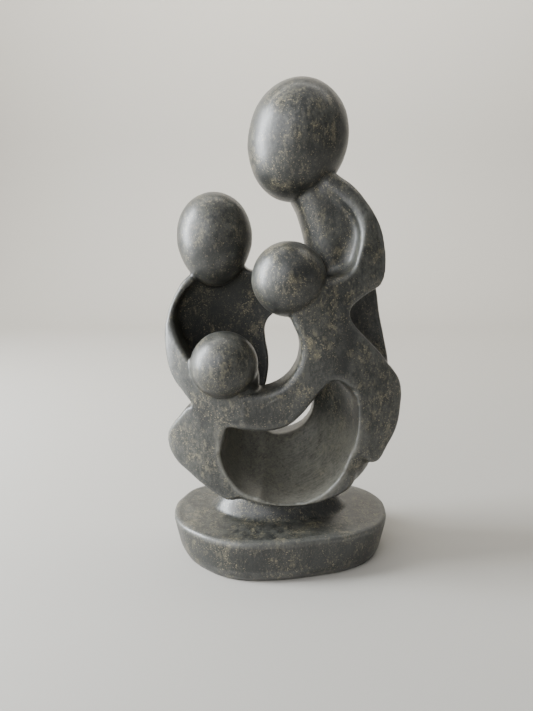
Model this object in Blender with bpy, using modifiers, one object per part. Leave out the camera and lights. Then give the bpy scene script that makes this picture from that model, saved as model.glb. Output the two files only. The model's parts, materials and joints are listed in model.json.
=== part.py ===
"""Family group carved from one block of dark stone.

Two parents and two children join in a ring above a scooped lap, on an oval base that belongs to the same
stone. The script works the way the carver did: blocks and limbs are fused into a mass, the hollows are scooped
out of it, the egg-shaped heads are set on, and the whole is smoothed and stood on its flat underside.

Metres, +Z up, the front towards -Y, and the origin in the middle of the underside.
"""

import math

import bmesh
import bpy
from mathutils import Matrix, Vector

# Driving sizes in metres
BASE_WIDTH = 0.1225
BASE_DEPTH = 0.0800
BASE_THICKNESS = 0.0225
BASE_UNDERCUT = 0.0050
BASE_TOP_EDGE = 0.0025
BASE_FOOT_ROUNDING = 0.0065
FIGURE_HEIGHT = 0.2320
WAIST_WIDTH = 0.0740
WAIST_DEPTH = 0.0400
WAIST_SETBACK = 0.0060
WAIST_HEIGHT = 0.0160
WAIST_FLARE = 0.0030

# The figures are laid out in parts of their own height, measured up from the top of the base, so that one part
# is a millimetre at the size above
PARTS_IN_HEIGHT = 232
PART = FIGURE_HEIGHT / PARTS_IN_HEIGHT

# How finely the stone is worked, as parts, and the faces that the finished solid may have
GRAIN = 1.7
MASS_SMOOTHING = 10
CUT_SMOOTHING = 5
HEAD_SMOOTHING = 2
FACE_LIMIT = 8800

EGG_SEGMENTS = 40
EGG_RINGS = 26
FINE = 0.0001

STONE = (0.035, 0.038, 0.036, 1.0)


def at(x, y, z):
    """A point of the figures, from parts to metres."""
    return Vector((x * PART, y * PART, BASE_THICKNESS + z * PART))


def clear_scene():
    for old in list(bpy.data.objects):
        bpy.data.objects.remove(old, do_unlink=True)


def new_object(name, mesh, collection):
    made = bpy.data.objects.new(name, mesh)
    collection.objects.link(made)
    return made


def baked_mesh(thing):
    """The mesh of an object with its modifiers worked in."""
    graph = bpy.context.evaluated_depsgraph_get()
    return bpy.data.meshes.new_from_object(thing.evaluated_get(graph))


def bake(thing):
    """Works an object's modifiers into its mesh."""
    mesh = baked_mesh(thing)
    thing.modifiers.clear()
    thing.data = mesh


def egg(shop, name, centre, radii, lean=0.0, taper=0.0):
    """A ball drawn out along three axes, narrower below by its taper and leaned sideways."""
    shaper = bmesh.new()
    bmesh.ops.create_uvsphere(shaper, u_segments=EGG_SEGMENTS, v_segments=EGG_RINGS, radius=1.0)
    for corner in shaper.verts:
        girth = 1.0 + taper * corner.co.z
        corner.co.x *= radii[0] * PART * girth
        corner.co.y *= radii[1] * PART * girth
        corner.co.z *= radii[2] * PART
    turn = Matrix.Rotation(math.radians(lean), 4, "Y")
    shaper.transform(Matrix.Translation(at(*centre)) @ turn)
    mesh = bpy.data.meshes.new(name)
    shaper.to_mesh(mesh)
    shaper.free()
    return new_object(name, mesh, shop)


def curve_to_mesh(shop, curved):
    """A closed mesh made of a curve object, whose caps are welded on."""
    bpy.context.view_layer.update()
    mesh = baked_mesh(curved)
    mesh.transform(curved.matrix_world)
    welder = bmesh.new()
    welder.from_mesh(mesh)
    bmesh.ops.remove_doubles(welder, verts=welder.verts, dist=FINE)
    bmesh.ops.recalc_face_normals(welder, faces=welder.faces)
    welder.to_mesh(mesh)
    welder.free()
    name = curved.name
    bpy.data.objects.remove(curved, do_unlink=True)
    return new_object(name, mesh, shop)


def limb(shop, name, points, depth=1.0):
    """A tapering limb through points of x, y, z and radius; depth is how deep it is for its breadth."""
    path = bpy.data.curves.new(name, "CURVE")
    path.dimensions = "3D"
    path.bevel_depth = PART
    path.bevel_resolution = 6
    path.resolution_u = 10
    path.use_fill_caps = True
    spline = path.splines.new("BEZIER")
    spline.bezier_points.add(len(points) - 1)
    for knot, (x, y, z, radius) in zip(spline.bezier_points, points):
        spot = at(x, y, z)
        knot.co = (spot.x, spot.y / depth, spot.z)
        knot.radius = radius
        knot.handle_left_type = "AUTO"
        knot.handle_right_type = "AUTO"
    curved = new_object(name, path, shop)
    curved.scale = (1.0, depth, 1.0)
    return curve_to_mesh(shop, curved)


def slab(shop, name, outline, front, back, rounding, lean=0.0):
    """A block with a free front outline of x and z, from its front to its back, with rounded edges; its lean is
    how far it goes back for each part that it goes up above its lowest point."""
    path = bpy.data.curves.new(name, "CURVE")
    path.dimensions = "2D"
    path.fill_mode = "BOTH"
    path.extrude = ((back - front) / 2 - rounding) * PART
    path.bevel_depth = rounding * PART
    path.offset = -rounding * PART
    path.bevel_resolution = 4
    path.resolution_u = 8
    spline = path.splines.new("BEZIER")
    spline.use_cyclic_u = True
    spline.bezier_points.add(len(outline) - 1)
    for knot, (x, z) in zip(spline.bezier_points, outline):
        knot.co = (x * PART, z * PART, 0)
        knot.handle_left_type = "AUTO"
        knot.handle_right_type = "AUTO"
    curved = new_object(name, path, shop)
    curved.rotation_euler = (math.radians(90), 0, 0)
    curved.location = at(0, (front + back) / 2, 0)
    block = curve_to_mesh(shop, curved)
    foot = min(corner.co.z for corner in block.data.vertices)
    for corner in block.data.vertices:
        corner.co.y += lean * (corner.co.z - foot)
    return block


def fuse(shop, name, things):
    """Runs overlapping blocks together into one skin."""
    joined = bmesh.new()
    for thing in things:
        joined.from_mesh(thing.data)
        bpy.data.objects.remove(thing, do_unlink=True)
    mesh = bpy.data.meshes.new(name)
    joined.to_mesh(mesh)
    joined.free()
    return new_object(name, mesh, shop)


def work_over(thing, smoothing):
    """Skins the stone again at an even grain and rubs it smooth."""
    skin = thing.modifiers.new("skin", "REMESH")
    skin.mode = "VOXEL"
    skin.voxel_size = GRAIN * PART
    rub = thing.modifiers.new("rub", "SMOOTH")
    rub.factor = 0.5
    rub.iterations = smoothing
    bake(thing)


def carve(thing, tool, operation):
    """Scoops a tool out of the stone, or keeps only what lies inside it."""
    stroke = thing.modifiers.new("stroke", "BOOLEAN")
    stroke.operation = operation
    stroke.solver = "EXACT"
    stroke.object = tool
    bake(thing)
    bpy.data.objects.remove(tool, do_unlink=True)


def envelope(shop):
    """The rounded block that the carver starts from: it rounds the sides and the back of the figures."""
    return egg(shop, "envelope", (2, -1, 75), (72, 28, 152))


LEFT_BODY = [
    (-44.5, 67), (-52.5, 59), (-60, 45), (-57, 32), (-46, 21), (-34, 20), (-32, 40), (-28, 55), (-20, 68), (-26, 77),
    (-38, 79), (-49, 80), (-51, 74),
]
HIP_FRONT = [
    (30, 84), (36, 74), (40, 60), (41, 46), (49, 35), (58.5, 47), (63.5, 62), (63.8, 77), (56.5, 89), (46, 98),
    (36, 102), (26, 96),
]
SHORT_BACK = [
    (-47, 135), (-53, 127), (-57.5, 113), (-58, 98), (-54, 82), (-43, 68), (-50, 48), (-38, 34), (-14, 32), (-12, 50),
    (-8, 68), (-6, 86), (-8, 98), (-8, 105), (-3, 113), (0, 124), (-8, 135), (-18, 137), (-24, 146), (-40, 146),
]
TALL_BACK = [
    (20, 180), (22, 158), (22, 140), (15, 120), (16, 98), (18, 72), (16, 52), (20, 38), (42, 36), (56, 48), (61, 66),
    (62, 84), (59, 99), (56, 112), (54, 124), (50, 140), (40, 168), (28, 184),
]
TALL_CHEST = [
    (5, 176), (9, 165.5), (13, 151.5), (15.3, 136), (18, 118), (46, 118), (47, 140), (45, 158), (38, 172), (28, 182),
    (14, 186),
]


def rounded_back(shop, name, outline, front, back, swell):
    """A parent's back: a free outline whose back is rounded off by an egg of centre and radii."""
    made = slab(shop, name, outline, front, back, 8)
    carve(made, egg(shop, "swell", *swell), "INTERSECT")
    return made


def seated_mass(shop):
    """The hips, the bowl of the lap and the backs of both parents."""
    return [
        egg(shop, "lap_bowl", (3, -2, 40), (50, 28, 33)),
        egg(shop, "lap_front", (5, -14, 28), (42, 20, 17)),
        egg(shop, "left_hip", (-42, -4, 43), (19.5, 24, 23)),
        egg(shop, "right_hip", (44, -4, 62), (21.5, 24, 32), lean=8),
        slab(shop, "child_body", LEFT_BODY, -27, -4, 9),
        slab(shop, "hip_front", HIP_FRONT, -25, 0, 9),
        rounded_back(shop, "short_back", SHORT_BACK, -6, 26, ((-31, -6, 84), (37, 31, 92))),
        rounded_back(shop, "tall_back", TALL_BACK, 2, 30, ((37, -6, 98), (36, 33, 122))),
        slab(shop, "tall_chest", TALL_CHEST, -7, 22, 7, lean=0.06),
    ] + stem(shop)


def stem(shop):
    """The carved stem between the lap and the base, and the low flare that it spreads into."""
    middle = (0, WAIST_SETBACK / PART, 0)
    wide, deep = WAIST_WIDTH / 2, WAIST_DEPTH / 2
    flare = (wide + WAIST_FLARE, deep + WAIST_FLARE, WAIST_FLARE)
    return [
        egg(shop, "stem", middle, (wide / PART, deep / PART, WAIST_HEIGHT / PART)),
        egg(shop, "stem_foot", middle, tuple(size / PART for size in flare)),
    ]


WAY_THROUGH = [
    (1, 41.3), (10, 43.5), (16.3, 49), (19.8, 59), (18, 76), (17, 92), (14, 108), (5, 114), (-4, 112), (-8.5, 104),
    (-7.5, 98), (-5.5, 87), (-7, 77), (-9, 66), (-10, 54), (-6, 43),
]
LAP_MOUTH = [
    (-26.8, 59), (-29.5, 50.3), (-31.6, 41.6), (-31.4, 35), (-28.2, 28.5), (-20, 22.8), (-11.5, 18.9), (-3, 16.8),
    (8.6, 16.2), (17, 17.4), (24.8, 20.2), (29.6, 25), (31, 29.8), (34, 34.4), (39.5, 39.6), (41, 47), (40.2, 58.8),
    (38.9, 67.6), (36.2, 74.3), (31.8, 79.2), (27, 82), (8, 74), (-10, 72),
]


def lap_scoop(shop):
    """The scoop of the lap: its mouth is cut square, and its floor rises in one sweep towards the back."""
    scoop = slab(shop, "lap_scoop", LAP_MOUTH, -70, 30, 2)
    carve(scoop, egg(shop, "lap_sweep", (5, -32, 60), (42, 48, 47)), "INTERSECT")
    return scoop


def scoops(shop):
    """The gap between the parents, and their dished fronts."""
    return [
        slab(shop, "way_through", WAY_THROUGH, -12, 44, 4),
        egg(shop, "short_front", (-15.5, -24, 106), (43.5, 32, 37)),
        egg(shop, "chest_front", (31, -32, 147), (16, 32, 38), lean=-8),
    ]


SHORT_ARM = [
    (-42, 2, 133, 4.4), (-50.8, -2, 124.5, 4.3), (-56, -6, 110, 4.2), (-55.4, -10, 95, 5), (-48.6, -14, 81, 6.4),
    (-36, -15, 72, 8.5),
]
BRIDGE_ARM = [(-26, 13, 124, 10), (-6, 14, 125, 9.5), (10, 12, 125, 10), (26, 8, 126, 12)]
TALL_ARM = [
    (17, 184), (24, 186.5), (31, 182.5), (37, 178), (42.5, 171.5), (47, 164.5), (50.3, 157), (52.3, 148.5),
    (52.8, 140), (51.5, 132.5), (48, 127.5), (43, 125), (34, 122), (22, 123), (19, 130), (25, 134), (30.5, 135),
    (35, 138), (37.5, 145), (39, 153), (38, 160), (34.5, 166), (28, 172), (20, 178),
]
BAND = [
    (-34, 54), (-27.5, 57.2), (-19.6, 56), (-11.1, 55.3), (-2.9, 55.9), (4.7, 58.8), (11.3, 64.8), (15.8, 70.3),
    (20.5, 76.3), (28, 82), (38, 78), (50, 82), (54, 91), (48.8, 97.5), (43.3, 103), (38.5, 108), (35.3, 112.5),
    (34.2, 116.4), (35.2, 119.3), (38.4, 122.2), (43, 125.3), (47.5, 127.5), (46, 131), (38, 132), (24, 131),
    (12, 125), (4, 118), (5.8, 111), (9.4, 102), (9.3, 93), (6.8, 87), (2.8, 82), (-3, 78), (-9, 76), (-20, 76),
    (-30, 78), (-40, 79), (-46, 73), (-43, 62),
]
SECOND_BODY = [
    (9, 110), (12, 100), (12, 90), (16, 84), (28, 84), (40, 78), (54, 84), (57, 98), (55, 114), (53, 130), (44, 142),
    (30, 138), (16, 124),
]


def side_hollowed(shop, block):
    """Hollows a block out between the elbow and the hip."""
    carve(block, egg(shop, "side_hollow", (71, -20, 114), (36, 28, 20)), "DIFFERENCE")
    return block


def embrace(shop):
    """The parents' arms, and the second child's body that the linking arm runs into as one band."""
    return [
        limb(shop, "short_arm", SHORT_ARM, depth=1.3),
        limb(shop, "bridge_arm", BRIDGE_ARM),
        slab(shop, "tall_arm", TALL_ARM, -28, 4, 4, lean=0.26),
        slab(shop, "band", BAND, -27.5, -5, 6),
        side_hollowed(shop, slab(shop, "second_body", SECOND_BODY, -16, 8, 6)),
    ]


def figures(shop):
    mass = fuse(shop, "mass", seated_mass(shop))
    work_over(mass, MASS_SMOOTHING)
    for cutter in [lap_scoop(shop)] + scoops(shop):
        carve(mass, cutter, "DIFFERENCE")
    mass = fuse(shop, "linked", [mass] + embrace(shop))
    work_over(mass, 0)
    carve(mass, envelope(shop), "INTERSECT")
    carve(mass, egg(shop, "waist_notch", (-62, -6, 66.5), (17, 40, 7)), "DIFFERENCE")
    work_over(mass, CUT_SMOOTHING)
    return mass


def heads(shop):
    return [
        egg(shop, "tall_head", (8.2, 0, 201.8), (25.4, 24.5, 30.8), lean=14, taper=0.05),
        egg(shop, "short_head", (-34.8, 2, 152.5), (19.8, 19.5, 24.5), taper=0.08),
        egg(shop, "first_child", (-29, -20, 89.3), (17.4, 17, 17.4)),
        egg(shop, "first_child_nape", (-20, -14, 80), (9, 12, 14)),
        egg(shop, "second_child", (4, -18, 132.8), (18.8, 18, 18.9)),
    ]


# The base's outline seen from above, as shares of its half width and half depth
BASE_OUTLINE = [
    (-1.0, 0.02), (-0.96, 0.4), (-0.82, 0.76), (-0.45, 0.98), (0.0, 1.02), (0.5, 0.96), (0.84, 0.74), (1.0, 0.38),
    (1.02, 0.0), (0.94, -0.4), (0.71, -0.68), (0.35, -0.86), (-0.1, -0.97), (-0.45, -0.93), (-0.75, -0.68),
    (-0.93, -0.36),
]


# How far the foot of the base draws in, as a share of the height of its rounding
FOOT_SHARE = 0.45


def base(shop):
    """The oval base, narrower below and rounded at its foot; it starts under the table to be sawn off flat."""
    spare = 3 * BASE_TOP_EDGE
    path = bpy.data.curves.new("base", "CURVE")
    path.dimensions = "2D"
    path.fill_mode = "BOTH"
    path.extrude = (BASE_THICKNESS + spare) / 2 - BASE_TOP_EDGE
    path.bevel_depth = BASE_TOP_EDGE
    path.offset = -BASE_TOP_EDGE
    path.bevel_resolution = 3
    path.resolution_u = 8
    spline = path.splines.new("BEZIER")
    spline.use_cyclic_u = True
    spline.bezier_points.add(len(BASE_OUTLINE) - 1)
    for knot, (x, y) in zip(spline.bezier_points, BASE_OUTLINE):
        knot.co = (x * BASE_WIDTH / 2, y * BASE_DEPTH / 2, 0)
        knot.handle_left_type = "AUTO"
        knot.handle_right_type = "AUTO"
    curved = new_object("base", path, shop)
    curved.location.z = (BASE_THICKNESS - spare) / 2
    made = curve_to_mesh(shop, curved)
    work_over(made, 0)
    for corner in made.data.vertices:
        height = max(corner.co.z, 0.0)
        low = max(0.0, 1.0 - height / BASE_FOOT_ROUNDING)
        inset = FOOT_SHARE * BASE_FOOT_ROUNDING * (1.0 - math.sqrt(1.0 - low * low))
        reach = math.hypot(corner.co.x, corner.co.y)
        corner.co.x *= 1.0 - (1.0 - height / BASE_THICKNESS) * BASE_UNDERCUT / (BASE_WIDTH / 2)
        corner.co.x *= 1.0 - inset / reach
        corner.co.y *= 1.0 - inset / reach
    return made


def saw_flat(mesh):
    """Saws the underside off flat at the table."""
    saw = bmesh.new()
    saw.from_mesh(mesh)
    everything = saw.verts[:] + saw.edges[:] + saw.faces[:]
    sawn = bmesh.ops.bisect_plane(saw, geom=everything, plane_co=(0, 0, 0), plane_no=(0, 0, 1), clear_inner=True)
    rim = [piece for piece in sawn["geom_cut"] if isinstance(piece, bmesh.types.BMEdge)]
    bmesh.ops.contextual_create(saw, geom=rim)
    bmesh.ops.triangulate(saw, faces=saw.faces)
    saw.to_mesh(mesh)
    saw.free()


def thin_out(thing):
    """Brings the faces down to the limit and lays the underside back on the table."""
    triangles = sum(len(face.vertices) - 2 for face in thing.data.polygons)
    fewer = thing.modifiers.new("fewer", "DECIMATE")
    fewer.ratio = min(1.0, FACE_LIMIT / triangles)
    fewer.use_collapse_triangulate = True
    bake(thing)
    for corner in thing.data.vertices:
        if corner.co.z < FINE:
            corner.co.z = 0.0


def stone():
    finish = bpy.data.materials.new("polished_dark_stone")
    finish.use_nodes = True
    shader = finish.node_tree.nodes["Principled BSDF"]
    shader.inputs["Base Color"].default_value = STONE
    shader.inputs["Roughness"].default_value = 0.3
    shader.inputs["Metallic"].default_value = 0.0
    return finish


def main():
    clear_scene()
    shop = bpy.data.collections.new("workshop")
    finished = bpy.data.collections.new("family_group_sculpture")
    bpy.context.scene.collection.children.link(shop)
    bpy.context.scene.collection.children.link(finished)

    group = fuse(shop, "group", [figures(shop), base(shop)] + heads(shop))
    work_over(group, HEAD_SMOOTHING)
    saw_flat(group.data)
    thin_out(group)

    carved = new_object("family_group", group.data, finished)
    carved.data.materials.append(stone())
    carved.data.shade_smooth()
    bpy.data.objects.remove(group, do_unlink=True)
    bpy.data.collections.remove(shop)


main()
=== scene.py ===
"""Family group carved from one block of polished dark stone, dressed over its fixed frame.

Two parents and two children join in a ring above a scooped lap, on an oval base of the same stone. The frame
gives the place and the size. Here the stone is carved again at a finer grain, with crisper rims, worn edges
and the slight unevenness of the hand, and it gets its mottled, waxed finish. Its colour also holds painted
shade on the undersides, the stem, the side of the base and the shorter parent's front hollow, and the lap is
made paler, partly as sanded stone and partly as painted light.

Metres, +Z up, the front towards -Y.
"""

import json
import math

import bmesh
import bpy
import numpy
from mathutils import Matrix, Vector, noise

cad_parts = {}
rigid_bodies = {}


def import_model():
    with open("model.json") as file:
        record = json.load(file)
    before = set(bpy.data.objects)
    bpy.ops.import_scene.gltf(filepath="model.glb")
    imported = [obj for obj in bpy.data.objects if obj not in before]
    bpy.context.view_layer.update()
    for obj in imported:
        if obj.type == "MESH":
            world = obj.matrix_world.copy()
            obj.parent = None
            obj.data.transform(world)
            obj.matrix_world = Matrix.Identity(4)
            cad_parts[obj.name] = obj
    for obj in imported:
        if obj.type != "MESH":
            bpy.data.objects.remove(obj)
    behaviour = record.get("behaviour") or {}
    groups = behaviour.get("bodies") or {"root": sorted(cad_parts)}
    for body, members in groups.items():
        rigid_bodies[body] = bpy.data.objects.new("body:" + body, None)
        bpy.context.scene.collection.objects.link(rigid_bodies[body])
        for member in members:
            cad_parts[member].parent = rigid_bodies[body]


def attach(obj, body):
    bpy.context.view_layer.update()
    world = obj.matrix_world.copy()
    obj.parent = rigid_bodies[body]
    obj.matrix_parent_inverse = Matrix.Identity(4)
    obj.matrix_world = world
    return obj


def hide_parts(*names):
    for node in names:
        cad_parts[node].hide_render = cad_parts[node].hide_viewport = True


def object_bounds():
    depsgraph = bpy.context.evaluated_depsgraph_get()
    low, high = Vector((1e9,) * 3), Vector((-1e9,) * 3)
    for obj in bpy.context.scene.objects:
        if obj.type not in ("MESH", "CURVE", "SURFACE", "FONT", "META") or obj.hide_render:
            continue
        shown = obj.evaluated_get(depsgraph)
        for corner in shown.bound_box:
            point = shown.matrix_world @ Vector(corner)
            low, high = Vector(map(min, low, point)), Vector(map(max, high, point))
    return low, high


bl_info = {
    "name": "Family Group Stone Carving",
    "version": (1, 0, 0),
    "blender": (4, 5, 0),
    "location": "3D View > Sidebar > Stone Carving",
    "description": "Carves and waxes a family group from one block of dark stone",
    "category": "Add Mesh",
}

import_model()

NODE = "family_group"
BODY = "root"
PIECE = "carved_family_group"

MILLIMETRE = 0.001
FINE = 0.0001

# The photograph's frame, for the camera
PHOTO_HEIGHT = 711
FOCAL_PIXELS = 536
FILM_HEIGHT = 36.0
NEAREST_SEEN = 0.01

CAD_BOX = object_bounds()
OVERALL_HEIGHT = CAD_BOX[1][2] - CAD_BOX[0][2]
BASE_THICKNESS = 0.0225

# The figures are laid out in parts of their own height, measured up from the top of the base
PARTS_IN_HEIGHT = 232

# How finely the blocks are drawn before the stone is skinned, and the triangles that the carving may have
EGG_SEGMENTS = 64
EGG_RINGS = 40
CURVE_STEPS = 16
LIMB_STEPS = 10
SLAB_STEPS = 6
BASE_STEPS = 4
TRIANGLE_LIMIT = 185000

# Rounds of rubbing, how strong each is, and the share of it that the rims take
RUB_STRENGTH = 0.5
MASS_RUBBING = 36
FIGURE_RUBBING = 36
FIGURE_RIMS = 0.02
GROUP_RUBBING = 5
GROUP_RIMS = 0.15
EDGE_EASING = 12

# How far apart the hand's unevenness comes, broad and close, and the close one's strength beside the broad
BROAD_WANDER = 14 * MILLIMETRE
CLOSE_WANDER = 5 * MILLIMETRE
CLOSE_SHARE = 0.35

# How far the foot of the base draws in, as a share of the height of its rounding, and what the saw takes off
# under the table, in radii of its top edge
FOOT_SHARE = 0.45
SAWN_EDGES = 3

# Rounding of the parents' backs, in parts
BACK_ROUNDING = 8

# Eggs of centre and radii in parts: the stem, its low foot, and what scoops out the lap, the shorter parent's
# front, the taller parent's front and the left waist
STEM = ((0, 6, 0), (37, 20, 16))
STEM_FOOT = ((0, 6, 0), (40, 23, 3))
LAP_SWEEP = ((4.7, -32, 60), (36.4, 48, 46))
LEFT_SWEEP = ((-10, -32, 50), (22.8, 42, 31.5))
SHORT_FRONT = ((-17, -20, 104), (52, 30, 46))
CHEST_FRONT = ((32, -62, 147), (19, 52.5, 38))
WAIST_NOTCH = ((-62, 14, 66.5), (17, 22, 7))

# The rounded block that the carver started from
ENVELOPE = ((2, -1, 75), (70, 28, 152))

# How near an egg's skin a scooped surface lies, in shares, and how high up the lap is painted paler, as
# sanded stone and as painted light, in parts
SCOOP_REACH = 0.09
SCOOP_FADE = 0.05
LAP_TOP = 60
LAP_FADE = 14
SANDING_SLOPE = math.radians(30)

# Painted shade on the side of the base, from just under its top edge
BASE_SIDE_TOP = -1.5
BASE_SIDE_FADE = 2.5
BASE_SIDE_PAINTED_SHADE = 0.9

# Painted shade on undersides, by how far they face down, and round the stem
UNDER_SHADE_START = -0.15
UNDER_SHADE_FADE = 0.7
STEM_PAINTED_SHADE = 0.6

# Sizes of the stone's markings
DRIFT = 30 * MILLIMETRE
CLUSTER = 11 * MILLIMETRE
CLOUD = 4.2 * MILLIMETRE
PATCH = 3 * MILLIMETRE
SPECKLE = 1.3 * MILLIMETRE
SPARK = 0.8 * MILLIMETRE
STROKE = 0.8 * MILLIMETRE
DUST = 0.6 * MILLIMETRE
SCRATCH = 0.6 * MILLIMETRE
CROSS_SCRATCH = 0.5 * MILLIMETRE

# How the markings are drawn out along each axis
UPRIGHT = (1.0, 1.0, 0.6)
ALONG_STROKE = (0.1, 1.0, 1.0)
ALONG_SCRATCH = (1.0, 0.12, 0.5)
ALONG_CROSS_SCRATCH = (0.15, 1.0, 0.7)

# Between which values each marking comes in
CLOUD_EDGES = (0.34, 0.68)
OLIVE_EDGES = (0.52, 0.66)
GOLD_EDGES = (0.63, 0.74)
DUST_EDGES = (0.55, 0.8)
WORN_EDGES = (0.30, 0.65)

# How much of its colour each marking gives
# How far the painted shade dims the clouds and the olive flecks
PAINTED_SHADE_OVER_CLOUD = 0.85
OLIVE_SHARE = 0.65
PAINTED_SHADE_OVER_OLIVE = 0.2
GOLD_SHARE = 0.65
DUST_SHARE = 0.22
WORN_SHARE = 0.25

STONE_IOR = 1.56
WAX_ROUGHNESS = 0.26
RELIEF_STRENGTH = 0.35
RELIEF_DEPTH = 0.12 * MILLIMETRE

# The floor and the wall that it sweeps up into
FLOOR_HALF_WIDTH = 2.5
FLOOR_NEAR = -2.5
FLOOR_FAR = 0.9
FLOOR_BEND = 0.5
FLOOR_STEPS = 12
FLOOR_ROUGHNESS = 0.85
WALL_HEIGHT = 2.0

# Each lamp's place, target, width and height, and colour
MIDDLE = (0.0, 0.0, OVERALL_HEIGHT / 2)
WINDOW = ((-0.86, -0.02, 0.42), MIDDLE, (0.30, 0.85), (0.93, 0.97, 1.0))
OVERHEAD = ((-0.6, -0.9, 1.5), MIDDLE, (2.6, 2.2), (1.0, 1.0, 1.0))
FRONT = ((-0.95, -0.9, 0.5), MIDDLE, (1.7, 1.3), (0.97, 0.98, 1.0))
WALL_LIGHT = ((0.0, 0.3, 1.7), (0.0, 1.4, 1.3), (2.6, 1.0), (1.0, 0.97, 0.9))
ROOM_COLOUR = (0.95, 0.95, 0.93)


class CarvingSizes(bpy.types.PropertyGroup):
    figure_height: bpy.props.FloatProperty(
        name="Figure height",
        description="From the top of the base to the crown of the taller head",
        default=OVERALL_HEIGHT - BASE_THICKNESS,
        min=0.05,
        unit="LENGTH",
    )
    base_thickness: bpy.props.FloatProperty(
        name="Base thickness",
        description="Height of the oval base",
        default=BASE_THICKNESS,
        min=0.005,
        unit="LENGTH",
    )
    base_width: bpy.props.FloatProperty(
        name="Base width",
        description="Width of the oval base at its top edge",
        default=0.1225,
        min=0.02,
        unit="LENGTH",
    )
    base_depth: bpy.props.FloatProperty(
        name="Base depth",
        description="Depth of the oval base from front to back",
        default=0.0800,
        min=0.02,
        unit="LENGTH",
    )
    base_undercut: bpy.props.FloatProperty(
        name="Base undercut",
        description="How far each end of the base draws in towards the table",
        default=0.0050,
        min=0.0,
        unit="LENGTH",
    )
    base_edge: bpy.props.FloatProperty(
        name="Base edge",
        description="Radius of the eased edge round the top of the base",
        default=0.0022,
        min=0.0005,
        unit="LENGTH",
    )
    base_foot: bpy.props.FloatProperty(
        name="Base foot",
        description="Height of the rounding where the base meets the table",
        default=0.0065,
        min=0.0005,
        unit="LENGTH",
    )
    grain: bpy.props.FloatProperty(
        name="Grain",
        description="How finely the stone is worked, as parts of the figure height",
        default=0.75,
        min=0.5,
    )
    unevenness: bpy.props.FloatProperty(
        name="Unevenness",
        description="How far the hand-worked surface wanders",
        default=0.00022,
        min=0.0,
        unit="LENGTH",
    )


class StoneFinish(bpy.types.PropertyGroup):
    ground: bpy.props.FloatVectorProperty(
        name="Ground",
        description="Dark green-grey body of the stone",
        default=(0.012, 0.0135, 0.0135),
        size=3,
        subtype="COLOR",
    )
    cloud: bpy.props.FloatVectorProperty(
        name="Cloud",
        description="Lighter clouds in the stone",
        default=(0.062, 0.063, 0.055),
        size=3,
        subtype="COLOR",
    )
    olive: bpy.props.FloatVectorProperty(
        name="Olive fleck",
        description="Olive-tan flecks",
        default=(0.135, 0.122, 0.082),
        size=3,
        subtype="COLOR",
    )
    gold: bpy.props.FloatVectorProperty(
        name="Gold fleck",
        description="Small golden flecks",
        default=(0.25, 0.215, 0.135),
        size=3,
        subtype="COLOR",
    )
    rubbed: bpy.props.FloatVectorProperty(
        name="Rubbed edge",
        description="Pale grey of the edges that hands and polish have rubbed",
        default=(0.16, 0.16, 0.15),
        size=3,
        subtype="COLOR",
    )
    # Paler colour of the lap: partly sanded stone, partly painted light falling into the lap
    sanded_and_lit: bpy.props.FloatVectorProperty(
        name="Sanded stone",
        description="Paler stone of the lap, left as the last sanding left it",
        default=(0.145, 0.142, 0.118),
        size=3,
        subtype="COLOR",
    )
    roughness: bpy.props.FloatProperty(
        name="Roughness",
        description="Roughness of the waxed surface",
        default=0.42,
        min=0.05,
        max=1.0,
        subtype="FACTOR",
    )
    wax: bpy.props.FloatProperty(
        name="Wax",
        description="Weight of the wax coat",
        default=0.18,
        min=0.0,
        max=1.0,
        subtype="FACTOR",
    )


class StageSettings(bpy.types.PropertyGroup):
    floor_colour: bpy.props.FloatVectorProperty(
        name="Floor",
        description="Pale floor and the wall that it sweeps up into",
        default=(0.42, 0.405, 0.375),
        size=3,
        subtype="COLOR",
    )
    window_power: bpy.props.FloatProperty(
        name="Window",
        description="Power of the soft light from the left",
        default=33.0,
        min=0.0,
        unit="POWER",
    )
    overhead_power: bpy.props.FloatProperty(
        name="Overhead",
        description="Power of the wide light above and in front",
        default=8.0,
        min=0.0,
        unit="POWER",
    )
    front_power: bpy.props.FloatProperty(
        name="Front",
        description="Power of the low, wide light from the left of the camera",
        default=22.0,
        min=0.0,
        unit="POWER",
    )
    wall_power: bpy.props.FloatProperty(
        name="Wall",
        description="Power of the light on the wall behind",
        default=85.0,
        min=0.0,
        unit="POWER",
    )
    room_light: bpy.props.FloatProperty(
        name="Room",
        description="Strength of the light from all round",
        default=0.22,
        min=0.0,
    )
    camera_place: bpy.props.FloatVectorProperty(
        name="Camera",
        description="Where the camera stands",
        default=(-0.0073, -0.2895, 0.1692),
        size=3,
        subtype="XYZ",
        unit="LENGTH",
    )
    camera_nod: bpy.props.FloatProperty(
        name="Camera nod",
        description="How far the camera looks down",
        default=math.radians(11),
        subtype="ANGLE",
    )


# Outlines of x and z, in parts of the figure height
LEFT_BODY = [
    (-45, 70), (-49, 66.5), (-53.3, 61), (-58, 55), (-61, 48.5), (-60.6, 42.5), (-57, 36.5), (-51, 31.5),
    (-43, 24.5), (-34, 18), (-26, 14.5), (-20, 18), (-24, 30), (-28, 48), (-20, 66), (-26, 75), (-38, 79),
    (-48, 79), (-49, 74),
]
HIP_FRONT = [
    (30, 84), (36, 74), (40, 60), (41, 46), (49, 35), (58.5, 47), (63.5, 62), (63.8, 77), (56.5, 89),
    (46, 98), (36, 102), (26, 96),
]
SHORT_BACK = [
    (-47, 135), (-53, 127), (-57.5, 113), (-58, 98), (-54, 82), (-43, 68), (-50, 48), (-38, 34),
    (-14, 32), (-12, 50), (-8, 68), (-6, 86), (-8, 98), (-8, 105), (-3, 113), (0, 124), (-8, 135),
    (-18, 137), (-24, 146), (-40, 146),
]
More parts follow.
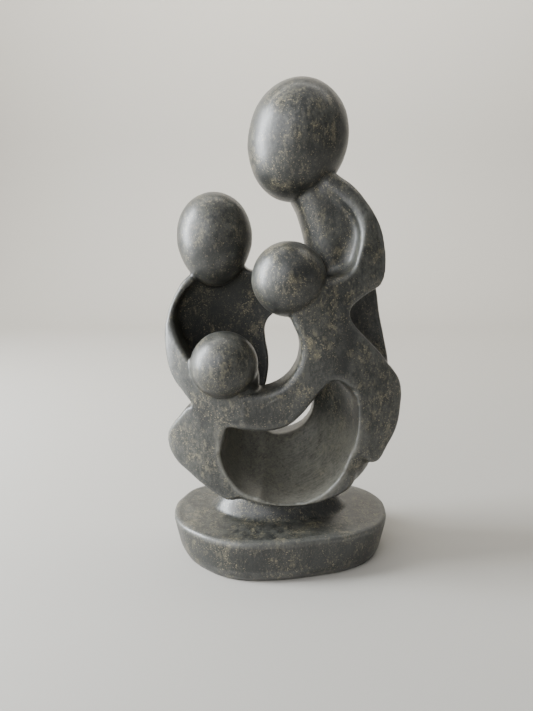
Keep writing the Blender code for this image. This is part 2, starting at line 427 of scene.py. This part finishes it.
TALL_BACK = [
    (20, 180), (22, 158), (22, 140), (15, 120), (16, 98), (18, 72), (16, 52), (20, 38), (42, 36),
    (56, 48), (61, 66), (62, 84), (59, 99), (56, 112), (54, 124), (50, 140), (40, 168), (28, 184),
]
WAY_THROUGH = [
    (1, 41.3), (10, 43.5), (16.3, 49), (19.8, 59), (18, 76), (17, 92), (14, 108), (5, 114), (-4, 112),
    (-8.5, 104), (-7.5, 98), (-5.5, 87), (-7, 77), (-9, 66), (-10, 54), (-6, 43),
]
LAP_MOUTH = [
    (-26.8, 59), (-29.5, 50.3), (-31.9, 41.6), (-32.5, 34), (-30, 27), (-22, 20), (-11.5, 14), (0, 12),
    (12, 12), (20, 14), (26, 19), (29.9, 25), (31.2, 29.8), (34.5, 34.4), (41, 38.6), (44.5, 47),
    (44, 58.8), (42.5, 67.6), (37.5, 74.5), (31.8, 79.2), (27, 82), (8, 74), (-10, 72),
]
TALL_ARM = [
    (17, 184), (24, 186.5), (31, 182.5), (37, 178), (42.5, 171.5), (47, 164.5), (50.3, 157),
    (52.3, 148.5), (52.8, 140), (51.5, 132.5), (48, 127.5), (43, 125), (34, 122), (22, 123), (19, 130),
    (25, 134), (30.5, 135), (35, 138), (37.5, 145), (39, 153), (38, 160), (34.5, 166), (28, 172),
    (20, 178),
]
BAND = [
    (-34, 54), (-27.5, 57.2), (-19.6, 56), (-11.1, 55.3), (-2.9, 55.9), (4.7, 58.8), (11.3, 64.8),
    (15.8, 70.3), (20.5, 76.3), (28, 82), (38, 78), (50, 82), (54, 91), (48.8, 97.5), (43.3, 103),
    (38.5, 108), (35.3, 112.5), (34.2, 116.4), (35.2, 119.3), (38.4, 122.2), (43, 125.3), (47.5, 127.5),
    (46, 131), (38, 132), (24, 131), (12, 125), (4, 118), (5.8, 111), (9.4, 102), (9.3, 93), (6.8, 87),
    (2.8, 82), (-3, 78), (-9, 76), (-20, 76), (-30, 78), (-40, 79), (-46, 73), (-43, 62),
]
SECOND_BODY = [
    (9, 110), (12, 100), (12, 90), (16, 84), (28, 84), (40, 78), (54, 84), (57, 98), (55, 114), (53, 130),
    (44, 142), (30, 138), (16, 124),
]
SIDE_NOTCH = [
    (34.6, 116.4), (36, 119.9), (40, 123.6), (47, 127.8), (55, 132), (72, 134), (76, 110), (72, 88),
    (60, 86), (54.6, 91), (48.8, 97.9), (43.3, 103.5), (38.5, 108.6), (35.5, 112.9),
]
TALL_CHEST = [
    (5, 176), (9, 165.5), (13, 151.5), (15.3, 136), (18, 118), (46, 118), (47, 140), (45, 158), (38, 172),
    (28, 182), (14, 186),
]
SHORT_ARM = [
    (-43, 136), (-48.5, 134), (-55.5, 124.5), (-60, 110), (-60.4, 96), (-56.5, 82), (-51, 75), (-46, 70),
    (-38, 70), (-32, 77), (-36, 84), (-44, 89.5), (-50, 96.5), (-54, 105), (-55.6, 112), (-54.3, 119),
    (-51, 125), (-45.5, 131),
]

# A limb's points of x, y, z and radius, in parts
BRIDGE_ARM = [(-28, 14, 124, 5), (-10, 14.5, 125, 8), (10, 12, 125, 10), (26, 8, 126, 12)]

# The base's outline seen from above, as shares of its half width and half depth
BASE_OUTLINE = [
    (-1.0, 0.02), (-0.96, 0.4), (-0.82, 0.76), (-0.45, 0.98), (0.0, 1.02), (0.5, 0.96), (0.84, 0.74),
    (1.0, 0.38), (1.02, 0.0), (0.94, -0.4), (0.71, -0.68), (0.35, -0.86), (-0.1, -0.97), (-0.45, -0.93),
    (-0.75, -0.68), (-0.93, -0.36),
]


class Workshop:
    """The carver's bench, which holds the blocks while the stone is put together."""

    def __init__(self, sizes):
        self.sizes = sizes
        self.part = sizes.figure_height / PARTS_IN_HEIGHT
        self.shelf = bpy.data.collections.new("workshop")
        bpy.context.scene.collection.children.link(self.shelf)

    def clear(self):
        for thing in list(self.shelf.objects):
            bpy.data.objects.remove(thing, do_unlink=True)
        bpy.data.collections.remove(self.shelf)

    def at(self, x, y, z):
        """A point of the figures, from parts to metres."""
        return Vector((x * self.part, y * self.part, self.sizes.base_thickness + z * self.part))

    def put(self, name, data):
        made = bpy.data.objects.new(name, data)
        self.shelf.objects.link(made)
        return made

    def bake(self, thing):
        """Works an object's modifiers into its mesh."""
        graph = bpy.context.evaluated_depsgraph_get()
        mesh = bpy.data.meshes.new_from_object(thing.evaluated_get(graph))
        thing.modifiers.clear()
        thing.data = mesh

    def egg(self, name, centre, radii, lean=0.0, taper=0.0):
        """A ball drawn out along three axes, narrower below by its taper and leaned sideways."""
        shaper = bmesh.new()
        bmesh.ops.create_uvsphere(shaper, u_segments=EGG_SEGMENTS, v_segments=EGG_RINGS, radius=1.0)
        for corner in shaper.verts:
            girth = 1.0 + taper * corner.co.z
            corner.co.x *= radii[0] * self.part * girth
            corner.co.y *= radii[1] * self.part * girth
            corner.co.z *= radii[2] * self.part
        turn = Matrix.Rotation(math.radians(lean), 4, "Y")
        shaper.transform(Matrix.Translation(self.at(*centre)) @ turn)
        mesh = bpy.data.meshes.new(name)
        shaper.to_mesh(mesh)
        shaper.free()
        return self.put(name, mesh)

    def solid_curve(self, curved):
        """A closed mesh made of a curve object, whose caps are welded on."""
        bpy.context.view_layer.update()
        graph = bpy.context.evaluated_depsgraph_get()
        mesh = bpy.data.meshes.new_from_object(curved.evaluated_get(graph))
        mesh.transform(curved.matrix_world)
        welder = bmesh.new()
        welder.from_mesh(mesh)
        bmesh.ops.remove_doubles(welder, verts=welder.verts, dist=FINE)
        bmesh.ops.recalc_face_normals(welder, faces=welder.faces)
        welder.to_mesh(mesh)
        welder.free()
        name = curved.name
        bpy.data.objects.remove(curved, do_unlink=True)
        return self.put(name, mesh)

    def limb(self, name, points):
        """A tapering limb through points of x, y, z and radius."""
        path = bpy.data.curves.new(name, "CURVE")
        path.dimensions = "3D"
        path.bevel_depth = self.part
        path.bevel_resolution = LIMB_STEPS
        path.resolution_u = CURVE_STEPS
        path.use_fill_caps = True
        spline = path.splines.new("BEZIER")
        spline.bezier_points.add(len(points) - 1)
        for knot, (x, y, z, radius) in zip(spline.bezier_points, points):
            knot.co = self.at(x, y, z)
            knot.radius = radius
            knot.handle_left_type = "AUTO"
            knot.handle_right_type = "AUTO"
        return self.solid_curve(self.put(name, path))

    def outline_curve(self, name, outline, thickness, rounding, steps):
        """A flat outline thickened both ways and rounded at its edges."""
        path = bpy.data.curves.new(name, "CURVE")
        path.dimensions = "2D"
        path.fill_mode = "BOTH"
        path.extrude = thickness / 2 - rounding
        path.bevel_depth = rounding
        path.offset = -rounding
        path.bevel_resolution = steps
        path.resolution_u = CURVE_STEPS
        spline = path.splines.new("BEZIER")
        spline.use_cyclic_u = True
        spline.bezier_points.add(len(outline) - 1)
        for knot, (x, y) in zip(spline.bezier_points, outline):
            knot.co = (x, y, 0)
            knot.handle_left_type = "AUTO"
            knot.handle_right_type = "AUTO"
        return self.put(name, path)

    def slab(self, name, outline, front, back, rounding, lean=0.0):
        """A block with a free front outline, from its front to its back, with rounded edges.

        Its lean is how far it goes back for each part that it goes up above its lowest point.
        """
        corners = [(x * self.part, z * self.part) for x, z in outline]
        thickness = (back - front) * self.part
        curved = self.outline_curve(name, corners, thickness, rounding * self.part, SLAB_STEPS)
        curved.rotation_euler = (math.radians(90), 0, 0)
        curved.location = self.at(0, (front + back) / 2, 0)
        block = self.solid_curve(curved)
        foot = min(corner.co.z for corner in block.data.vertices)
        for corner in block.data.vertices:
            corner.co.y += lean * (corner.co.z - foot)
        return block

    def fuse(self, name, things):
        """Runs overlapping blocks together into one skin."""
        joined = bmesh.new()
        for thing in things:
            joined.from_mesh(thing.data)
            bpy.data.objects.remove(thing, do_unlink=True)
        mesh = bpy.data.meshes.new(name)
        joined.to_mesh(mesh)
        joined.free()
        return self.put(name, mesh)

    def work_over(self, thing, smoothing):
        """Skins the stone again at an even grain and rubs it smooth."""
        skin = thing.modifiers.new("skin", "REMESH")
        skin.mode = "VOXEL"
        skin.voxel_size = self.sizes.grain * self.part
        rub = thing.modifiers.new("rub", "SMOOTH")
        rub.factor = RUB_STRENGTH
        rub.iterations = smoothing
        self.bake(thing)

    def carve(self, thing, tool, operation="DIFFERENCE"):
        """Scoops a tool out of the stone, or keeps only what lies inside it."""
        stroke = thing.modifiers.new("stroke", "BOOLEAN")
        stroke.operation = operation
        stroke.solver = "MANIFOLD"
        stroke.object = tool
        self.bake(thing)
        bpy.data.objects.remove(tool, do_unlink=True)


def rounded_back(shop, name, outline, front, back, swell):
    """A parent's back: a free outline whose back is rounded off by an egg of centre and radii."""
    made = shop.slab(name, outline, front, back, BACK_ROUNDING)
    shop.carve(made, shop.egg("swell", *swell), "INTERSECT")
    return made


def seated_mass(shop):
    """The hips, the bowl of the lap and the backs of both parents."""
    return [
        shop.egg("lap_bowl", (3, -2, 40), (50, 28, 33)),
        shop.egg("lap_front", (3.5, -14, 28), (38.5, 20, 17)),
        shop.egg("left_hip", (-41, -3, 43), (19.2, 23, 18.5)),
        shop.egg("right_hip", (44, -4, 62), (21.5, 24, 32), lean=8),
        shop.slab("child_body", LEFT_BODY, -27, -4, 9),
        shop.slab("hip_front", HIP_FRONT, -25, 0, 9),
        rounded_back(shop, "short_back", SHORT_BACK, -6, 26, ((-31, -6, 84), (37, 31, 92))),
        rounded_back(shop, "tall_back", TALL_BACK, 2, 30, ((37, -6, 98), (36, 33, 122))),
        shop.slab("tall_chest", TALL_CHEST, -11, 22, 11),
        shop.egg("stem", *STEM),
        shop.egg("stem_foot", *STEM_FOOT),
    ]


def lap_scoop(shop, centre, radii):
    """A scoop of the lap: an egg whose floor rises in one sweep, held to the lap's mouth."""
    scoop = shop.slab("lap_scoop", LAP_MOUTH, -70, 30, 2)
    shop.carve(scoop, shop.egg("lap_sweep", centre, radii), "INTERSECT")
    return scoop


def embrace(shop):
    """The parents' arms, and the second child's body that the linking arm runs into."""
    return [
        shop.slab("short_arm", SHORT_ARM, -28.3, -10, 2.2, lean=0.37),
        shop.limb("bridge_arm", BRIDGE_ARM),
        shop.slab("tall_arm", TALL_ARM, -28, 4, 4, lean=0.26),
        shop.slab("band", BAND, -27.5, -5, 3.5),
        shop.slab("second_body", SECOND_BODY, -16, 8, 6),
    ]


def heads(shop):
    """The four egg-shaped heads, and the nape that the first child's head runs into."""
    return [
        shop.egg("tall_head", (8.4, 0, 201.4), (25.4, 24.5, 30.2), lean=15, taper=0.05),
        shop.egg("short_head", (-34.8, 2, 152.5), (19.8, 19.5, 24.5), taper=0.08),
        shop.egg("first_child", (-29, -20, 89.3), (17.4, 17, 17.4)),
        shop.egg("first_child_nape", (-20, -14, 80), (9, 12, 14)),
        shop.egg("second_child", (4, -18, 132.8), (18.8, 18, 18.9)),
    ]


def base(shop):
    """The oval base, narrower below and rounded at its foot, with some to spare for the saw."""
    sizes = shop.sizes
    spare = SAWN_EDGES * sizes.base_edge
    corners = [(x * sizes.base_width / 2, y * sizes.base_depth / 2) for x, y in BASE_OUTLINE]
    curved = shop.outline_curve("base", corners, sizes.base_thickness + spare, sizes.base_edge, BASE_STEPS)
    curved.location.z = (sizes.base_thickness - spare) / 2
    made = shop.solid_curve(curved)
    shop.work_over(made, 0)
    for corner in made.data.vertices:
        height = max(corner.co.z, 0.0)
        low = max(0.0, 1.0 - height / sizes.base_foot)
        inset = sizes.base_foot * FOOT_SHARE * (1.0 - math.sqrt(1.0 - low * low))
        side = Vector((corner.co.x, corner.co.y)).length
        drawn_in = (1.0 - height / sizes.base_thickness) * sizes.base_undercut
        corner.co.x -= drawn_in * corner.co.x * 2 / sizes.base_width
        corner.co.x -= inset * corner.co.x / side
        corner.co.y -= inset * corner.co.y / side
    return made


def carved_figures(shop):
    """The figures without their heads, carved in the order that keeps the arms over the hollows."""
    mass = shop.fuse("mass", seated_mass(shop))
    shop.work_over(mass, MASS_RUBBING)
    shop.carve(mass, lap_scoop(shop, *LAP_SWEEP))
    shop.carve(mass, lap_scoop(shop, *LEFT_SWEEP))
    shop.carve(mass, shop.slab("way_through", WAY_THROUGH, -12, 44, 4))
    shop.carve(mass, shop.egg("short_front", *SHORT_FRONT))
    shop.carve(mass, shop.egg("chest_front", *CHEST_FRONT))
    mass = shop.fuse("linked", [mass] + embrace(shop))
    shop.work_over(mass, 0)
    shop.carve(mass, shop.egg("envelope", *ENVELOPE), "INTERSECT")
    shop.carve(mass, shop.egg("waist_notch", *WAIST_NOTCH))
    shop.carve(mass, shop.slab("side_notch", SIDE_NOTCH, -40, 6, 3))
    shop.work_over(mass, 1)
    rub(mass.data, FIGURE_RUBBING, FIGURE_RIMS)
    return mass


def thin_out(shop, thing):
    """Takes corners out of the plain places, so that the rims can keep a fine grain."""
    faces = len(thing.data.polygons) * 2
    sieve = thing.modifiers.new("sieve", "DECIMATE")
    sieve.ratio = min(1.0, TRIANGLE_LIMIT / faces)
    shop.bake(thing)


def saw_flat(mesh):
    """Saws the underside off flat at the table."""
    saw = bmesh.new()
    saw.from_mesh(mesh)
    everything = saw.verts[:] + saw.edges[:] + saw.faces[:]
    table = {"plane_co": (0, 0, 0), "plane_no": (0, 0, 1)}
    sawn = bmesh.ops.bisect_plane(saw, geom=everything, clear_inner=True, **table)
    rim = [piece for piece in sawn["geom_cut"] if isinstance(piece, bmesh.types.BMEdge)]
    bmesh.ops.contextual_create(saw, geom=rim)
    bmesh.ops.triangulate(saw, faces=saw.faces)
    saw.to_mesh(mesh)
    saw.free()


def wander(mesh, reach):
    """Lets the surface wander slightly off true, as hand-worked stone does, except at the table."""
    shifts = []
    for corner in mesh.vertices:
        broad = noise.noise(corner.co / BROAD_WANDER)
        close = noise.noise(corner.co / CLOSE_WANDER)
        shifts.append(corner.normal * reach * (broad + CLOSE_SHARE * close))
    for corner, shift in zip(mesh.vertices, shifts):
        if corner.co.z > FINE:
            corner.co += shift
            corner.co.z = max(corner.co.z, FINE)


class Skin:
    """The mesh of a carving as arrays, with the means to average each point with its neighbours."""

    def __init__(self, mesh):
        self.mesh = mesh
        self.count = len(mesh.vertices)
        ends = numpy.empty(len(mesh.edges) * 2, dtype=numpy.int64)
        mesh.edges.foreach_get("vertices", ends)
        self.first, self.second = ends[0::2], ends[1::2]
        self.neighbours = numpy.bincount(ends, minlength=self.count)
        self.places = self.read("co")

    def read(self, name):
        values = numpy.empty(self.count * 3, dtype=numpy.float32)
        self.mesh.vertices.foreach_get(name, values)
        return values.reshape(self.count, 3).astype(float)

    def write(self):
        self.mesh.vertices.foreach_set("co", self.places.astype(numpy.float32).ravel())
        self.mesh.update()

    def averaged(self, places):
        result = numpy.empty_like(places)
        for axis in range(3):
            total = numpy.bincount(self.first, weights=places[self.second, axis], minlength=self.count)
            total += numpy.bincount(self.second, weights=places[self.first, axis], minlength=self.count)
            result[:, axis] = total / self.neighbours
        return result


def rub(mesh, rounds, rims):
    """Rubs creases and hollows smooth; rims stand up to it by the share given."""
    skin = Skin(mesh)
    for _ in range(rounds):
        pull = skin.averaged(skin.places) - skin.places
        sunken = (pull * skin.read("normal")).sum(axis=1) > 0
        skin.places += pull * RUB_STRENGTH * numpy.where(sunken, 1.0, rims)[:, None]
        skin.write()


def write_mark(mesh, name, values):
    """Writes a value at each point as an attribute that the finish reads."""
    mark = mesh.attributes.new(name, "FLOAT", "POINT")
    mark.data.foreach_set("value", values.astype(numpy.float32))


def mark_edges(mesh):
    """Writes how proud or sunken each point is, in millimetres."""
    skin = Skin(mesh)
    eased = skin.places
    for _ in range(EDGE_EASING):
        eased = skin.averaged(eased)
    write_mark(mesh, "proud", ((skin.places - eased) * skin.read("normal")).sum(axis=1) / MILLIMETRE)


def on_egg(places, centre, radii):
    """How surely each place, in parts, lies on an egg's skin."""
    reach = numpy.linalg.norm((places - numpy.array(centre)) / numpy.array(radii), axis=1)
    return numpy.clip((SCOOP_REACH - numpy.abs(reach - 1.0)) / SCOOP_FADE, 0.0, 1.0)


def mark_painted_light_and_sanding(shop, mesh):
    """Writes where the lap is painted paler, as sanded stone and as painted light, and where painted shade
    darkens the stone nearly to black.
    """
    skin = Skin(mesh)
    places = (skin.places - numpy.array(shop.at(0, 0, 0))) / shop.part
    heights = places[:, 2]
    # Painted light and sanding: the lap floor is made paler, partly as sanded stone, partly as light falling
    # into the lap
    low = numpy.clip((LAP_TOP - heights) / LAP_FADE, 0.0, 1.0)
    lap = numpy.maximum(on_egg(places, *LAP_SWEEP), on_egg(places, *LEFT_SWEEP))
    write_mark(mesh, "sanding_and_painted_light", lap * low)

    # Painted shade: the shorter parent's front hollow, the side of the base, the undersides and the stem are
    # darkened in the colour where shade falls
    dish = on_egg(places, *SHORT_FRONT) * (1.0 - low)
    base_side = numpy.clip((BASE_SIDE_TOP - heights) / BASE_SIDE_FADE, 0.0, BASE_SIDE_PAINTED_SHADE)
    underside = numpy.clip((-skin.read("normal")[:, 2] - UNDER_SHADE_START) / UNDER_SHADE_FADE, 0.0, 1.0)
    stem = on_egg(places, *STEM) * STEM_PAINTED_SHADE
    write_mark(mesh, "painted_shade", numpy.maximum.reduce([dish, base_side, underside, stem]))


class Wire:
    """A socket that gives a number, on which Python's own arithmetic adds Math nodes."""

    def __init__(self, bench, socket):
        self.bench = bench
        self.socket = socket

    def _math(self, operation, first, second):
        return self.bench.node("ShaderNodeMath", {"operation": operation}, {0: first, 1: second})[0]

    def __add__(self, other):
        return self._math("ADD", self, other)

    __radd__ = __add__

    def __sub__(self, other):
        return self._math("SUBTRACT", self, other)

    def __rsub__(self, other):
        return self._math("SUBTRACT", other, self)

    def __mul__(self, other):
        return self._math("MULTIPLY", self, other)

    __rmul__ = __mul__


class Bench:
    """The finish's nodes: each is made by its type, its settings and what its sockets hold."""

    def __init__(self, name):
        self.finish = bpy.data.materials.new(name)
        self.finish.use_nodes = True
        self.tree = self.finish.node_tree
        self.shader = self.tree.nodes["Principled BSDF"]

    def feed(self, socket, value):
        if isinstance(value, Wire):
            self.tree.links.new(value.socket, socket)
        else:
            socket.default_value = value

    def node(self, kind, settings, sockets):
        """Makes a node and gives its outputs."""
        made = self.tree.nodes.new(kind)
        for name, value in settings.items():
            setattr(made, name, value)
        for key, value in sockets.items():
            self.feed(made.inputs[key], value)
        return [Wire(self, socket) for socket in made.outputs]

    def object_places(self):
        """Each point's place on the object, in metres."""
        return self.node("ShaderNodeTexCoord", {}, {})[3]

    def mark(self, name):
        """A value that was written on the mesh."""
        return self.node("ShaderNodeAttribute", {"attribute_name": name}, {})[2]

    def noise(self, places, size, detail=2.0, roughness=0.5):
        """Noise whose features are about the size given in metres."""
        sockets = {"Vector": places, "Scale": 1.0 / size, "Detail": detail, "Roughness": roughness}
        return self.node("ShaderNodeTexNoise", {}, sockets)[0]

    def between(self, value, low, high):
        """How far a value has come from low to high, held between nought and one, with soft ends."""
        settings = {"interpolation_type": "SMOOTHSTEP"}
        sockets = {"Value": value, "From Min": low, "From Max": high}
        return self.node("ShaderNodeMapRange", settings, sockets)[0]

    def mix(self, share, first, second):
        """Runs one colour into another."""
        settings = {"data_type": "RGBA"}
        return self.node("ShaderNodeMix", settings, {0: share, 6: first, 7: second})[2]

    def turn(self, places, angle):
        """Turns the places in the plane of the picture."""
        settings = {"rotation_type": "Y_AXIS"}
        return self.node("ShaderNodeVectorRotate", settings, {"Vector": places, "Angle": angle})[0]

    def stretch(self, places, factors):
        """Draws the places out or together along each axis."""
        return self.node("ShaderNodeVectorMath", {"operation": "MULTIPLY"}, {0: places, 1: factors})[0]


def opaque(colour):
    return (*colour, 1.0)


def waxed_stone_painted_light_and_shade(looks):
    """Dark green-grey stone with lighter clouds, olive and gold flecks, rubbed edges and a thin wax, with
    painted shade on hollows, undersides, the stem and the side of the base, and painted light on the lap.
    """
    bench = Bench("waxed_dark_stone_painted_light_and_shade")
    places = bench.object_places()
    proud = bench.mark("proud")
    # The lap's paleness, part sanded stone and part painted light, and the painted shade of hollows,
    # undersides, stem and base side
    sanding_and_painted_light = bench.mark("sanding_and_painted_light")
    painted_shade = bench.mark("painted_shade")

    upright = bench.stretch(places, UPRIGHT)
    drift = bench.noise(places, DRIFT)
    cluster = bench.noise(places, CLUSTER)
    cloud = bench.noise(upright, CLOUD, detail=3.0, roughness=0.6)
    speckle = bench.noise(upright, SPECKLE, roughness=0.6)
    patch = bench.noise(upright, PATCH, detail=2.5, roughness=0.6)
    spark = bench.noise(places, SPARK, detail=1.0)
    dust = bench.noise(places, DUST, detail=1.0)
    sloping = bench.stretch(bench.turn(places, SANDING_SLOPE), ALONG_STROKE)
    strokes = bench.noise(sloping, STROKE, roughness=0.6)
    scratches = bench.noise(bench.stretch(places, ALONG_SCRATCH), SCRATCH, roughness=0.6)
    cross_scratches = bench.noise(bench.stretch(places, ALONG_CROSS_SCRATCH), CROSS_SCRATCH)

    clouded = bench.between(cloud * 0.55 + speckle * 0.45 + (drift - 0.5) * 0.2, *CLOUD_EDGES)
    # Painted shade dims the clouds
    cloud_share = clouded * (1.0 - painted_shade * PAINTED_SHADE_OVER_CLOUD)
    ground = bench.mix(cloud_share, opaque(looks.ground), opaque(looks.cloud))

    olive_place = bench.between(patch * 0.6 + speckle * 0.4 + (cluster - 0.5) * 0.35, *OLIVE_EDGES)
    # Painted shade dims the olive flecks
    olive_share = olive_place * (OLIVE_SHARE - painted_shade * PAINTED_SHADE_OVER_OLIVE)
    flecked = bench.mix(olive_share, ground, opaque(looks.olive))

    gold_place = bench.between(spark + (cluster - 0.5) * 0.35, *GOLD_EDGES)
    dust_place = bench.between(dust, *DUST_EDGES)
    gold_share = gold_place * GOLD_SHARE + dust_place * DUST_SHARE
    starred = bench.mix(gold_share, flecked, opaque(looks.gold))

    # The lap is painted paler: partly sanded stone, partly painted light
    sanded_and_lit_share = speckle * 0.35 + cloud * 0.45 + strokes * 1.2 - 0.42
    lap_sanded_and_lit = bench.mix(sanding_and_painted_light * sanded_and_lit_share, starred, opaque(looks.sanded_and_lit))
    worn_place = bench.between(proud + speckle * 0.2, *WORN_EDGES)
    coloured = bench.mix(worn_place * WORN_SHARE, lap_sanded_and_lit, opaque(looks.rubbed))

    dull = looks.roughness + (speckle - 0.5) * 0.22 + (scratches - 0.5) * 0.16 + (drift - 0.5) * 0.12
    relief = scratches * 0.5 + cross_scratches * 0.35 + speckle * 0.8
    sockets = {"Strength": RELIEF_STRENGTH, "Distance": RELIEF_DEPTH, "Height": relief}
    bump = bench.node("ShaderNodeBump", {}, sockets)[0]

    shader = bench.shader
    bench.feed(shader.inputs["Base Color"], coloured)
    bench.feed(shader.inputs["Roughness"], dull)
    bench.feed(shader.inputs["Normal"], bump)
    shader.inputs["Metallic"].default_value = 0.0
    shader.inputs["IOR"].default_value = STONE_IOR
    shader.inputs["Coat Weight"].default_value = looks.wax
    shader.inputs["Coat Roughness"].default_value = WAX_ROUGHNESS
    return bench.finish


class FAMILY_OT_carve_group(bpy.types.Operator):
    """Carve the family group and its base from one block, in place of the frame's plain solid"""

    bl_idname = "family.carve_group"
    bl_label = "Carve the Family Group"

    def execute(self, context):
        sizes = context.scene.carving_sizes
        shop = Workshop(sizes)
        group = shop.fuse("group", [carved_figures(shop), base(shop)] + heads(shop))
        shop.work_over(group, 1)
        rub(group.data, GROUP_RUBBING, GROUP_RIMS)
        thin_out(shop, group)
        saw_flat(group.data)
        wander(group.data, sizes.unevenness)
        mark_edges(group.data)
        mark_painted_light_and_sanding(shop, group.data)
        group.data.shade_smooth()
        group.data.materials.append(waxed_stone_painted_light_and_shade(context.scene.stone_finish))
        carved = bpy.data.objects.new(PIECE, group.data)
        context.scene.collection.objects.link(carved)
        shop.clear()
        if not carved.data.polygons:
            raise RuntimeError("the carving came out empty")
        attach(carved, BODY)
        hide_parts(NODE)
        return {"FINISHED"}


def plain_finish(name, colour):
    finish = bpy.data.materials.new(name)
    finish.use_nodes = True
    shader = finish.node_tree.nodes["Principled BSDF"]
    shader.inputs["Base Color"].default_value = opaque(colour)
    shader.inputs["Roughness"].default_value = FLOOR_ROUGHNESS
    return finish


def sweep(colour):
    """A pale floor that rises behind the piece in one curve."""
    profile = [(FLOOR_NEAR, 0.0)]
    for step in range(FLOOR_STEPS + 1):
        angle = math.radians(90) * step / FLOOR_STEPS
        profile.append((FLOOR_FAR + FLOOR_BEND * math.sin(angle), FLOOR_BEND * (1 - math.cos(angle))))
    profile.append((FLOOR_FAR + FLOOR_BEND, WALL_HEIGHT))
    maker = bmesh.new()
    left = [maker.verts.new((-FLOOR_HALF_WIDTH, y, z)) for y, z in profile]
    right = [maker.verts.new((FLOOR_HALF_WIDTH, y, z)) for y, z in profile]
    for index in range(len(profile) - 1):
        maker.faces.new((left[index], right[index], right[index + 1], left[index + 1]))
    mesh = bpy.data.meshes.new("floor")
    maker.to_mesh(mesh)
    maker.free()
    mesh.shade_smooth()
    mesh.materials.append(plain_finish("pale_floor", colour))
    floor = bpy.data.objects.new("floor", mesh)
    bpy.context.scene.collection.objects.link(floor)
    return floor


def soft_light(name, power, place, target, size, colour):
    lamp = bpy.data.lights.new(name, "AREA")
    lamp.shape = "RECTANGLE"
    lamp.size, lamp.size_y = size
    lamp.energy = power
    lamp.color = colour
    light = bpy.data.objects.new(name, lamp)
    light.location = place
    light.rotation_euler = (Vector(target) - Vector(place)).to_track_quat("-Z", "Y").to_euler()
    bpy.context.scene.collection.objects.link(light)


class FAMILY_OT_set_stage(bpy.types.Operator):
    """Set the pale floor, the soft light from the left and the camera"""

    bl_idname = "family.set_stage"
    bl_label = "Set the Stage"

    def execute(self, context):
        stage = context.scene.stage_settings
        sweep(stage.floor_colour)
        soft_light("window", stage.window_power, *WINDOW)
        soft_light("overhead", stage.overhead_power, *OVERHEAD)
        soft_light("front", stage.front_power, *FRONT)
        soft_light("wall_light", stage.wall_power, *WALL_LIGHT)

        world = bpy.data.worlds.new("room")
        world.use_nodes = True
        background = world.node_tree.nodes["Background"]
        background.inputs["Color"].default_value = opaque(ROOM_COLOUR)
        background.inputs["Strength"].default_value = stage.room_light
        context.scene.world = world

        lens = bpy.data.cameras.new("camera")
        lens.sensor_width = FILM_HEIGHT
        lens.lens = FOCAL_PIXELS / PHOTO_HEIGHT * FILM_HEIGHT
        lens.clip_start = NEAREST_SEEN
        camera = bpy.data.objects.new("camera", lens)
        camera.location = stage.camera_place
        camera.rotation_euler = (math.radians(90) - stage.camera_nod, 0.0, 0.0)
        context.scene.collection.objects.link(camera)
        context.scene.camera = camera
        return {"FINISHED"}


class FAMILY_PT_carving(bpy.types.Panel):
    """Sizes, finish and stage of the stone family group"""

    bl_idname = "FAMILY_PT_carving"
    bl_label = "Family Group"
    bl_space_type = "VIEW_3D"
    bl_region_type = "UI"
    bl_category = "Stone Carving"

    def draw(self, context):
        scene = context.scene
        for group in (scene.carving_sizes, scene.stone_finish, scene.stage_settings):
            box = self.layout.box()
            for name in group.__annotations__:
                box.prop(group, name)
        self.layout.operator(FAMILY_OT_carve_group.bl_idname)
        self.layout.operator(FAMILY_OT_set_stage.bl_idname)


CLASSES = (
    CarvingSizes,
    StoneFinish,
    StageSettings,
    FAMILY_OT_carve_group,
    FAMILY_OT_set_stage,
    FAMILY_PT_carving,
)


def register():
    for kind in CLASSES:
        bpy.utils.register_class(kind)
    bpy.types.Scene.carving_sizes = bpy.props.PointerProperty(type=CarvingSizes)
    bpy.types.Scene.stone_finish = bpy.props.PointerProperty(type=StoneFinish)
    bpy.types.Scene.stage_settings = bpy.props.PointerProperty(type=StageSettings)


def unregister():
    del bpy.types.Scene.stage_settings
    del bpy.types.Scene.stone_finish
    del bpy.types.Scene.carving_sizes
    for kind in reversed(CLASSES):
        bpy.utils.unregister_class(kind)


def main():
    register()
    bpy.ops.family.carve_group()
    bpy.ops.family.set_stage()


if __name__ == "__main__":
    main()
